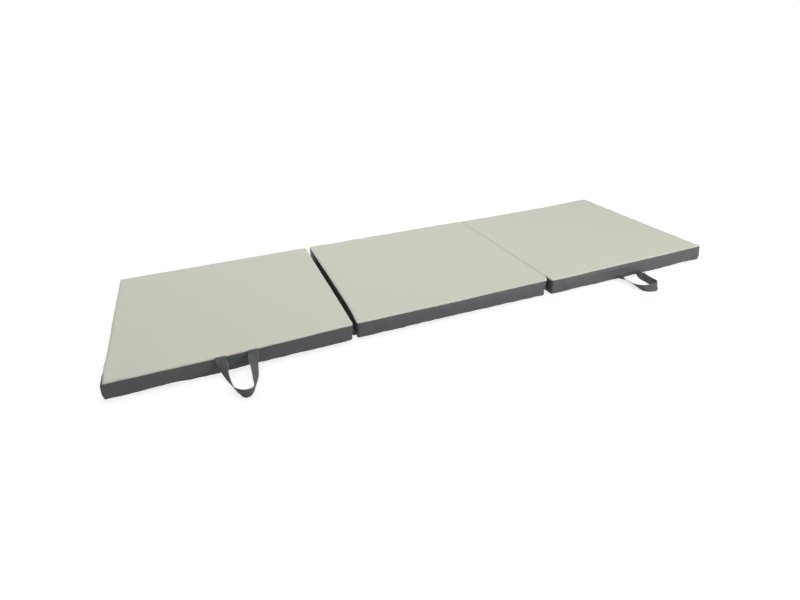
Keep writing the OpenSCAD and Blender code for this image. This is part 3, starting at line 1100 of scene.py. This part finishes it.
def lowerHinge():
    x0 = panelSpan("left")[1]
    x1 = panelSpan("middle")[0]
    centre = (x0 + x1) / 2
    half = (x1 - x0) / 2 + 1 * mm

    def height(x, y):
        share = np.abs(x - centre) / half
        sag = ripple(np.stack([x * 0.5, y, x * 0], axis=1), 40 * mm, 21) * 0.5 * mm
        return 1.6 * mm + (lowSeam - 1.0 * mm) * share ** 2.2 + sag * (1 - share)

    low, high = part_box("lower_hinge_left_leaf")
    strip = makeStrip("lowerHingeStrip", centre - half, centre + half, low[1], high[1], height)
    finish(strip, "charcoal", smoothAngle=60)
    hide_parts("lower_hinge_left_leaf", "lower_hinge_middle_leaf")
    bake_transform(strip)


def upperHinge():
    x0 = panelSpan("middle")[1]
    x1 = panelSpan("right")[0]
    centre = (x0 + x1) / 2
    half = (x1 - x0) / 2 + 6 * mm

    def height(x, y):
        away = np.abs(x - centre)
        crease = hinge["grooveDepth"] * np.exp(-(away / hinge["grooveHalf"]) ** 2)
        crease -= hinge["ridge"] * np.exp(-((away - 3 * mm) / (1.5 * mm)) ** 2)
        edge = np.clip((away - half + 3 * mm) / (3 * mm), 0, 1) * 1.2 * mm
        wave = ripple(np.stack([x * 0, y, x * 0], axis=1), 60 * mm, 23) * 0.25 * mm
        return panelTop + 0.12 * mm - crease - edge + wave * (1 - away / half)

    low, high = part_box("upper_hinge_middle_leaf")
    strip = makeStrip("upperHingeStrip", centre - half, centre + half, low[1], high[1], height)
    finish(strip, "sage", smoothAngle=60)
    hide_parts("upper_hinge_middle_leaf", "upper_hinge_right_leaf")
    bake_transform(strip)


lowerHinge()
upperHinge()
print("hinge strips made")


# Handles: webbing sewn into a front seam. A route's points are across, out, height and
# roll, from the middle of the panel's front seam, as the frame's handles have them

handle = {
    "width": 25 * mm,
    "thick": 1.3 * mm,
    "cup": 0.35 * mm,
    "wave": 0.5 * mm,
    "waveLength": 30 * mm,
    "lowest": 0.75 * mm,
    "steps": 8,
    "acrossCuts": 10,
}
handleRoutes = {
    "left": [
        (-37.5, 0.4, 44.8, 0), (-37.5, 2.4, 44, 0), (-37.5, 7.4, 40, 1),
        (-34, 18.8, 26, 30.1), (-29.9, 47.4, 17.7, 72.3), (-20.5, 89.4, 12.6, 106.2),
        (-15.8, 108.5, 13.7, 110), (-0.2, 127.2, 12.9, 92.8), (18.5, 122.8, 13.8, 107.5),
        (24.8, 92.5, 12.9, 86.5), (31.4, 60.5, 17.4, 56.7), (33.9, 27.5, 25.5, 36.3),
        (37.5, 7.4, 40, 1), (37.5, 2.4, 44, 0), (37.5, 0.4, 44.8, 0),
    ],
    "right": [
        (-37.5, 0.4, 4.6, 0), (-37.5, 2.4, 4.2, 0), (-37.5, 7, 4.3, -4),
        (-43.3, 20.2, 7.3, -18.2), (-37.2, 39.1, 7.4, -30.3), (-42.5, 64.8, 9, -38.5),
        (-44.5, 90, 11, -51.7), (-40.5, 105, 12.8, -70.9), (-24.8, 113.4, 13.4, -93.9),
        (-8.6, 116.9, 13, -101.8), (2.6, 112.7, 12.6, -108.1), (13.1, 102.4, 13.3, -98.6),
        (11.7, 73.9, 13.7, -89.2), (15.1, 45.8, 13.3, -80.4), (26.6, 26.1, 9.5, -36.6),
        (32.1, 18.3, 6.2, -11.2), (37.5, 7, 4.4, -4), (37.5, 2.4, 4.2, 0),
        (37.5, 0.4, 4.6, 0),
    ],
}


# A curve through every point of a route, with steps points a stretch
def smoothRoute(route, steps):
    knots = np.array(route, float)
    last = len(knots) - 1
    line = []
    for i in range(last):
        a, b = knots[max(i - 1, 0)], knots[i]
        c, d = knots[i + 1], knots[min(i + 2, last)]
        for t in np.arange(steps) / steps:
            line.append(0.5 * (
                2 * b + (c - a) * t + (2 * a - 5 * b + 4 * c - d) * t ** 2
                + (3 * b - a - 3 * c + d) * t ** 3
            ))
    line.append(knots[last])
    return np.array(line)


# The width direction of the webbing at every point of its line
def webbingFrames(line):
    along = np.gradient(line[:, :3], axis=0)
    along[0, 0] = along[-1, 0] = 0
    along /= np.linalg.norm(along, axis=1)[:, None]
    up = np.array([0, 0, 1]) - along * along[:, 2:3]
    up /= np.linalg.norm(up, axis=1)[:, None]
    side = np.cross(up, along)
    roll = np.radians(line[:, 3])[:, None]
    wide = np.cos(roll) * side + np.sin(roll) * up
    return wide, np.cross(along, wide)


def makeHandle(side):
    x0, x1, y0, _ = panelSpan(side)
    line = smoothRoute(handleRoutes[side], handle["steps"])
    line[:, 0] = (x0 + x1) / 2 + line[:, 0] * mm
    line[:, 1] = y0 - line[:, 1] * mm
    line[:, 2] *= mm
    wide, thick = webbingFrames(line)
    count = len(line)
    bpy.ops.mesh.primitive_grid_add(
        x_subdivisions=count - 1, y_subdivisions=handle["acrossCuts"], size=1
    )
    strap = newest(f"{side}Webbing")
    points = pointsOf(strap)
    step = np.rint((points[:, 0] + 0.5) * (count - 1)).astype(int)
    across = points[:, 1] * handle["width"]
    lengths = np.linalg.norm(np.diff(line[:, :3], axis=0), axis=1)
    stretch = np.concatenate([[0], np.cumsum(lengths)])
    for loop in strap.data.loops:
        i = loop.vertex_index
        strap.data.uv_layers.active.data[loop.index].uv = (stretch[step[i]], across[i])
    cup = handle["cup"] * (1 - (2 * points[:, 1]) ** 2)
    length, seed = handle["waveLength"], 3.0 if side == "left" else 8.0
    wave = handle["wave"] * np.array([
        noise.noise(Vector((stretch[s] / length, p * 1.5, seed)))
        for s, p in zip(step, points[:, 1])
    ])
    fromRoot = np.minimum(stretch[step], stretch[-1] - stretch[step])
    loose = np.clip(fromRoot / length, 0, 1)
    placed = line[step, :3] + wide[step] * across[:, None]
    placed += thick[step] * (cup + wave * loose)[:, None]
    placed[:, 2] = np.maximum(placed[:, 2], handle["lowest"])
    movePoints(strap, placed)
    applyModifier(strap, "SOLIDIFY", thickness=handle["thick"], offset=0)
    subdivide(strap)
    finish(strap, "webbing", smoothAngle=60)
    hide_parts(f"{side}_handle")
    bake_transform(strap)
    print(side, "handle", round(stretch[-1], 4), "m of webbing")


for side in ("left", "right"):
    makeHandle(side)


# Zips: a woven tape, a coil of nylon loops, and a slider with its pull

zipCoil = {
    "pitch": 1.55 * mm,
    "wire": 0.42 * mm,
    "depth": 0.9 * mm,
    "ends": 1.2 * mm,
    "bends": (-1.6 * mm, -0.9 * mm, 0.9 * mm, 1.6 * mm),
    "curl": 0.8 * mm,
    "cordDepth": 1.05 * mm,
}
stitch = {
    "step": 3.4 * mm,
    "share": 0.68,
    "radius": 0.28 * mm,
    "bevel": 0.12 * mm,
    "fromEdge": 1.6 * mm,
    "fromEnd": 4 * mm,
    "sunk": 0.02 * mm,
}


# A copy of a rigid node with its doubles merged and its edges rounded
def roundedCopy(node, name, width):
    piece = copyOf(frame["nodes"][node], name)
    for key in list(piece.keys()):
        if key.startswith("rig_"):
            del piece[key]
    editAll(piece)
    bpy.ops.mesh.remove_doubles(threshold=0.00001)
    bpy.ops.mesh.dissolve_limited(angle_limit=math.radians(2))
    backToObject()
    bevelEdges(piece, width, 2, 30)
    return piece


# A row of loops, each a short wire with its ends curled back, on the cord behind them
def makeCoil(side):
    low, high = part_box(f"{side}_zip_coil")
    pitch = zipCoil["pitch"]
    middle = Vector((low[0] + pitch / 2, high[1] - zipCoil["depth"], (low[2] + high[2]) / 2))
    tooth = makeCylinder(
        f"{side}ZipTeeth", vertices=6, radius=zipCoil["wire"],
        depth=high[2] - low[2] - zipCoil["ends"], location=middle,
    )
    editAll(tooth)
    cutAcross([middle.z + bend for bend in zipCoil["bends"]], 2)
    backToObject()
    points = pointsOf(tooth)
    reach = (high[2] - low[2]) / 2
    share = np.clip(np.abs(points[:, 2] - middle.z) / reach, 0, 1)
    points[:, 1] -= share ** 3 * zipCoil["curl"]
    movePoints(tooth, points)
    repeatAlong(tooth, int((high[0] - low[0]) / pitch), pitch)
    cord = roundedCopy(f"{side}_zip_coil", f"{side}ZipCoil", 0.2 * mm)
    points = pointsOf(cord)
    depth = high[1] - low[1]
    points[:, 1] = low[1] + (points[:, 1] - low[1]) * (1 - zipCoil["cordDepth"] / depth)
    movePoints(cord, points)
    onlySelect(cord)
    tooth.select_set(True)
    bpy.ops.object.join()
    return cord


# A row of stitches along X from a place, each a small rounded bar
def stitchRow(name, start, count, body):
    row = makeCylinder(
        name, vertices=6, radius=stitch["radius"], depth=stitch["step"] * stitch["share"],
        location=start, rotation=(0, math.pi / 2, 0),
    )
    bevelEdges(row, stitch["bevel"], 1, 70)
    repeatAlong(row, count, stitch["step"])
    finish(row, "darkThread", body)


for side in panels:
    body = bodyOf[side]
    coil = makeCoil(side)
    finish(coil, "nylon", body)
    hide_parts(f"{side}_zip_coil")
    for ending, look, slotName, width, rider in (
        ("slider", "lacquer", "zip_metal", 0.35 * mm, f"{side}_zip_slider"),
        ("pull", "nylon", "zip_coil", 0.3 * mm, f"{side}_zip_pull"),
        ("stops", "lacquer", "zip_metal", 0.4 * mm, body),
    ):
        piece = roundedCopy(f"{side}_zip_{ending}", f"{side}Zip{ending.title()}", width)
        finish(piece, look, rider)
        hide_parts(f"{side}_zip_{ending}")


def paintNode(node, look):
    mesh = frame["nodes"][node].data
    mesh.materials.clear()
    mesh.materials.append(finishes[look])


for side in panels:
    paintNode(f"{side}_zip_tape", "tape")
    low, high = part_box(f"{side}_zip_tape")
    count = int((high[0] - low[0] - 6 * mm) / stitch["step"])
    inset = stitch["fromEdge"]
    for row, z in (("Low", low[2] + inset), ("High", high[2] - inset)):
        start = (low[0] + stitch["fromEnd"], high[1] - stitch["sunk"], z)
        stitchRow(f"{side}TapeStitches{row}", start, count, bodyOf[side])
print("zips made")


# Floor, lights and world

studio = {
    "floorSize": 14,
    "floorColor": (0.93, 0.93, 0.93, 1),
    "floorSeen": (0.3, 0.3, 0.3, 1),
    "floorGlow": 0.78,
    "fadeFrom": 1.1,
    "fadeTo": 1.9,
    "world": 0.1,
    "lamps": {
        "overhead": {"place": (-0.2, 0.2, 3.2), "aim": (0, 0, 0), "size": 3.6, "power": 72},
        "back": {"place": (-0.2, 1.4, 2.9), "aim": (-0.1, 0.2, 0), "size": 2.4, "power": 28},
        "frontRight": {"place": (1.4, -2.1, 0.75), "aim": (0.5, 0, 0), "size": 1.1, "power": 32},
    },
}


def mixShaders(tree, factor, first, second):
    mix = addNode(tree, "MixShader")
    for socket, value in zip(mix.inputs, (factor, first.outputs[0], second.outputs[0])):
        tree.links.new(value, socket)
    return mix


# Mixes in what the background shows to rays that see it straight, in a reflection or
# through glass
def showBackground(tree, plain, shown, output):
    rays = addNode(tree, "LightPath")
    glossy, clear = (rays.outputs[f"Is {kind} Ray"] for kind in ("Glossy", "Transmission"))
    either = mathNode(tree, "MAXIMUM", glossy, clear)
    seeing = mathNode(tree, "MAXIMUM", rays.outputs["Is Camera Ray"], either)
    seen = mixShaders(tree, seeing, plain, shown)
    tree.links.new(seen.outputs[0], tree.nodes[output].inputs["Surface"])


def makeFloor():
    bpy.ops.mesh.primitive_plane_add(size=studio["floorSize"], location=(0, 0, 0))
    floor = newest("floor")
    material = bpy.data.materials.new("paleFloor")
    material.use_nodes = True
    tree = material.node_tree
    shader = tree.nodes["Principled BSDF"]
    setInputs(shader, Base_Color=studio["floorColor"], Roughness=0.9, Specular_IOR_Level=0.1)
    face = addNode(tree, "BsdfDiffuse")
    setInputs(face, Color=studio["floorSeen"])
    glow = addNode(tree, "Emission")
    setInputs(glow, Color=(1, 1, 1, 1), Strength=studio["floorGlow"])
    both = addNode(tree, "AddShader")
    link = tree.links.new
    link(face.outputs[0], both.inputs[0])
    link(glow.outputs[0], both.inputs[1])
    # Far from the mat the floor goes over into the white of the background
    white = addNode(tree, "Emission")
    setInputs(white, Color=(1, 1, 1, 1), Strength=1.0)
    coords = addNode(tree, "TexCoord")
    reach = addNode(tree, "VectorMath", operation="LENGTH")
    fade = addNode(tree, "MapRange", interpolation_type="SMOOTHSTEP")
    setInputs(fade, From_Min=studio["fadeFrom"], From_Max=studio["fadeTo"])
    link(coords.outputs["Object"], reach.inputs[0])
    link(reach.outputs["Value"], fade.inputs["Value"])
    faded = mixShaders(tree, fade.outputs["Result"], both, white)
    showBackground(tree, shader, faded, "Material Output")
    floor.data.materials.append(material)


def makeLamp(name, look):
    data = bpy.data.lights.new(name, "AREA")
    data.shape = "SQUARE"
    data.size = look["size"]
    data.energy = look["power"]
    lamp = bpy.data.objects.new(name, data)
    place = Vector(look["place"])
    turn = (Vector(look["aim"]) - place).to_track_quat("-Z", "Y")
    lamp.matrix_world = Matrix.Translation(place) @ turn.to_matrix().to_4x4()
    lamp.visible_camera = False
    bpy.context.scene.collection.objects.link(lamp)


def makeWorld():
    world = bpy.data.worlds.new("studio")
    bpy.context.scene.world = world
    world.use_nodes = True
    tree = world.node_tree
    soft = tree.nodes["Background"]
    setInputs(soft, Color=(1, 1, 1, 1), Strength=studio["world"])
    white = addNode(tree, "Background")
    setInputs(white, Color=(1, 1, 1, 1), Strength=1.0)
    showBackground(tree, soft, white, "World Output")


makeFloor()
for name, look in studio["lamps"].items():
    makeLamp(name, look)
makeWorld()
bpy.context.scene.view_settings.view_transform = "Standard"
print("studio lit")
